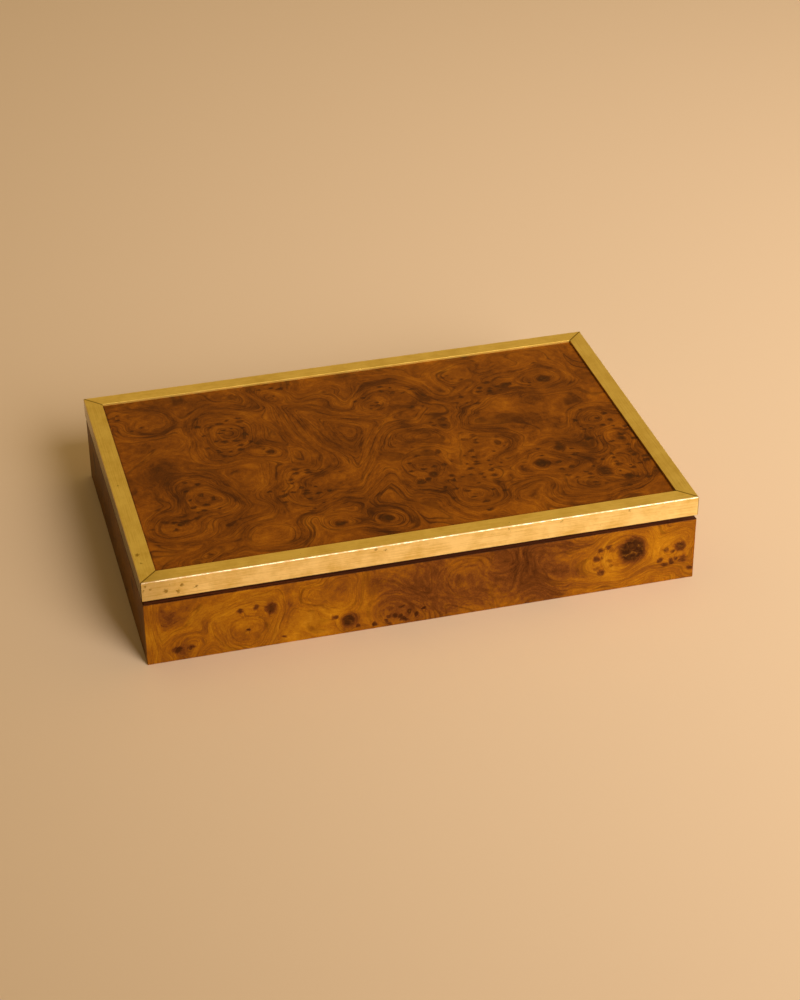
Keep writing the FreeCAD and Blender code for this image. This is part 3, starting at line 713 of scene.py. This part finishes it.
def satin_brass(name, along, colour, tarnish, roughness, edges=None, wear_and_highlight=0, leg=None, spots=()):
    """Aged satin brass, brushed along one axis. Lengths are in millimetres.

    edges are the frame's half length, half depth and top, for the mitres and the arris. wear_and_highlight
    is how bright the arris is worn, partly a painted highlight. leg is the outer leg's (colour, dull colour,
    share, roughness): its paler colour on the front is a painted highlight, its darker one on the left
    painted shade.
    spots of tarnish are (x, y, z, radius, depth).
    """
    material, tree, shader = new_material(name)
    place = millimetres(tree)
    stretch = [BRUSHING_DRAWN_OUT if axis == along else 1 for axis in "XYZ"]
    drawn = put(tree, "ShaderNodeVectorMath", {0: place, 1: stretch}, operation="MULTIPLY").outputs[0]
    brushing = put(tree, "ShaderNodeTexNoise",
                   {"Vector": drawn, "Scale": 1 / BRUSHING_MM, "Detail": 3, "Roughness": 0.7}).outputs[0]
    bloom = put(tree, "ShaderNodeTexNoise",
                {"Vector": place, "Scale": 1 / BLOOM_MM, "Detail": 5, "Roughness": 0.65}).outputs[0]
    streaked = put(tree, "ShaderNodeMix", {0: 0.5, 2: bloom, 3: brushing}).outputs[0]
    dulled = put(tree, "ShaderNodeMapRange",
                 {"Value": streaked, "From Min": 0.42, "From Max": 0.64,
                  "To Min": 0, "To Max": 0.8}).outputs[0]
    base = put(tree, "ShaderNodeMix", {0: dulled, 6: linear(colour), 7: linear(tarnish)},
               data_type="RGBA").outputs[2]

    # Stray specks, and the ragged spots that are listed.
    specks = put(tree, "ShaderNodeTexNoise",
                 {"Vector": place, "Scale": 1 / SPECK_MM, "Detail": 4, "Roughness": 0.6}).outputs[0]
    stain = put(tree, "ShaderNodeMapRange",
                {"Value": specks, "From Min": 0.71, "From Max": 0.77, "To Min": 0, "To Max": 0.6}).outputs[0]
    strayed = put(tree, "ShaderNodeTexNoise", {"Vector": place, "Scale": 1 / SPOT_EDGE_MM, "Detail": 2})
    ragged = put(tree, "ShaderNodeVectorMath",
                 {0: strayed.outputs["Color"], 1: [SPOT_EDGE_REACH_MM] * 3, 2: place},
                 operation="MULTIPLY_ADD").outputs[0]
    mean_stray = SPOT_EDGE_REACH_MM / 2
    for x, y, z, radius, depth in spots:
        centre = (x + mean_stray, y + mean_stray, z + mean_stray)
        away = put(tree, "ShaderNodeVectorMath", {0: ragged, 1: centre}, operation="DISTANCE")
        spot = put(tree, "ShaderNodeMapRange",
                   {"Value": away.outputs["Value"], "From Min": 0.3 * radius, "From Max": radius,
                    "To Min": depth, "To Max": 0},
                   interpolation_type="SMOOTHSTEP").outputs[0]
        stain = put(tree, "ShaderNodeMath", {0: stain, 1: spot}, operation="MAXIMUM").outputs[0]
    dull = put(tree, "ShaderNodeMapRange",
               {"Value": brushing, "To Min": roughness - 0.08, "To Max": roughness + 0.1}).outputs[0]

    if edges:
        half_length, half_depth, top = edges
        axes = put(tree, "ShaderNodeSeparateXYZ", {0: place})
        from_side = []
        for axis, half in (("X", half_length), ("Y", half_depth)):
            out = put(tree, "ShaderNodeMath", {0: axes.outputs[axis]}, operation="ABSOLUTE").outputs[0]
            from_side.append(put(tree, "ShaderNodeMath", {0: half, 1: out}, operation="SUBTRACT").outputs[0])
        nearest = put(tree, "ShaderNodeMath", {0: from_side[0], 1: from_side[1]},
                      operation="MINIMUM").outputs[0]
        from_top = put(tree, "ShaderNodeMath", {0: top, 1: axes.outputs["Z"]},
                       operation="SUBTRACT").outputs[0]
        if leg:
            leg_colour, leg_dull_colour, leg_share, leg_roughness = leg
            on_leg = put(tree, "ShaderNodeMapRange",
                         {"Value": from_top, "From Min": LEG_FROM_MM, "From Max": LEG_FULL_MM,
                          "To Min": 0, "To Max": leg_share}).outputs[0]
            leg_base = put(tree, "ShaderNodeMix", {0: dulled, 6: linear(leg_colour), 7: linear(leg_dull_colour)},
                           data_type="RGBA").outputs[2]
            base = put(tree, "ShaderNodeMix", {0: on_leg, 6: base, 7: leg_base}, data_type="RGBA").outputs[2]
            dull = put(tree, "ShaderNodeMix", {0: on_leg, 2: dull, 3: leg_roughness}).outputs[0]

        # The arris is rubbed bright in broken lengths, partly as a painted highlight, and dirt lies in the
        # mitres.
        from_arris = put(tree, "ShaderNodeMath", {0: nearest, 1: from_top}, operation="ADD").outputs[0]
        breaks = put(tree, "ShaderNodeTexNoise",
                     {"Vector": place, "Scale": 1 / RUB_HIGHLIGHT_MM, "Detail": 3, "Roughness": 0.6}).outputs[0]
        ragged_edge = put(tree, "ShaderNodeMath", {0: breaks, 1: -RUB_HIGHLIGHT_REACH_MM, 2: from_arris},
                          operation="MULTIPLY_ADD").outputs[0]
        rubbed_and_highlit = put(tree, "ShaderNodeMapRange",
                     {"Value": ragged_edge, "From Min": -RUB_HIGHLIGHT_FADE_MM, "From Max": 0.0,
                      "To Min": wear_and_highlight, "To Max": 0}).outputs[0]
        polished = put(tree, "ShaderNodeMapRange",
                       {"Value": breaks, "From Min": 0.42, "From Max": 0.56, "To Min": 0.9, "To Max": 0.46})
        base = put(tree, "ShaderNodeMix", {0: rubbed_and_highlit, 6: base, 7: linear(RUBBED_BRASS_HIGHLIGHT)},
                   data_type="RGBA").outputs[2]
        dull = put(tree, "ShaderNodeMix", {0: rubbed_and_highlit, 2: dull, 3: polished.outputs[0]}).outputs[0]
        across_mitre = put(tree, "ShaderNodeMath", {0: from_side[0], 1: from_side[1]}, operation="SUBTRACT")
        across_mitre = put(tree, "ShaderNodeMath", {0: across_mitre.outputs[0]}, operation="ABSOLUTE")
        darkening = put(tree, "ShaderNodeMapRange",
                   {"Value": across_mitre.outputs[0], "From Min": MITRE_DIRT_MM, "From Max": MITRE_CLEAN_MM,
                    "To Min": 0.85, "To Max": 0}).outputs[0]
        stain = put(tree, "ShaderNodeMath", {0: stain, 1: darkening}, operation="MAXIMUM").outputs[0]

    aged = put(tree, "ShaderNodeMix", {0: stain, 6: base, 7: linear(STAIN)}, data_type="RGBA").outputs[2]
    tree.links.new(aged, shader.inputs["Base Color"])
    tree.links.new(dull, shader.inputs["Roughness"])
    bump = put(tree, "ShaderNodeBump", {"Height": brushing, "Strength": 0.08, "Distance": 0.00005})
    tree.links.new(bump.outputs[0], shader.inputs["Normal"])
    shader.inputs["Metallic"].default_value = 1
    return material


BRASS = "#F5D06B"
BRASS_TARNISH = "#DAB048"
FRAME_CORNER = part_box("right_brass_edge")[1]
FRAME_EDGES = (FRAME_CORNER.x * 1000, FRAME_CORNER.y * 1000, FRAME_CORNER.z * 1000)
FRONT_FACE = -FRAME_EDGES[1]
FRAME_TOP = FRAME_EDGES[2]
FRONT_SPOTS = [(x, FRONT_FACE, z, radius, depth) for x, z, radius, depth in (
    (-126, 37, 27, 0.32),     # the film at the corner
    (-118.2, 39.1, 1.4, 0.8), (-119.0, 37.0, 1.0, 0.8), (-115.9, 37.4, 0.9, 0.8), (-110.1, 35.6, 1.4, 0.8),
    (-105.0, 34.4, 1.2, 0.8), (-103.3, 37.3, 1.2, 0.8), (-97.6, 35.5, 0.9, 0.8), (-22.1, 39.8, 0.9, 0.6),
    (-17.9, 38.7, 1.0, 0.6), (35.1, 39.7, 0.8, 0.6), (58.8, 39.4, 0.9, 0.6), (88.8, 39.7, 0.9, 0.6),
)]
LEFT_SPOTS = [(x, y, FRAME_TOP, radius, depth) for x, y, radius, depth in (
    (-117.8, -56.9, 1.3, 0.8), (-117.2, -63.5, 0.9, 0.7), (-116.8, -1.5, 0.8, 0.7),
)]
# The front leg's pale colour is a painted highlight; the left leg's dark olive colours are painted shade.
BRASS_STRIPS = [
    ("front", "X", 0.6, 0.8, ("#FBDD95", BRASS_TARNISH, 1.0, 0.68), FRONT_SPOTS),
    ("rear", "X", 0.6, 0.3, None, ()),
    ("left", "Y", 0.42, 0.1, ("#9C8232", "#7C6622", 1.0, 0.22), LEFT_SPOTS),
    ("right", "Y", 0.5, 0.3, ("#8E6426", BRASS_TARNISH, 0.1, 0.5), ()),
]
for side, along, roughness, wear_and_highlight, leg, spots in BRASS_STRIPS:
    strip_brass = satin_brass(f"aged satin brass, {side} strip", along, BRASS, BRASS_TARNISH, roughness,
                              FRAME_EDGES, wear_and_highlight, leg, spots)
    finish_node(f"{side}_brass_edge", strip_brass)

# Hinges
# Two small brass butt hinges in the gap at the rear: rolled leaves, a pin, and slotted countersunk screws.
# Drawn brass that was never rubbed down, so it is smoother and browner than the frame.
HINGE_BRASS = satin_brass("drawn hinge brass", "X", "#D8AE58", "#A87C34", roughness=0.34)
for side in ("left", "right"):
    for piece in ("base_leaf", "lid_leaf", "pin"):
        finish_node(f"{side}_hinge_{piece}", HINGE_BRASS)
finish_node("base_hinge_screws", HINGE_BRASS)
finish_node("lid_hinge_screws", HINGE_BRASS)
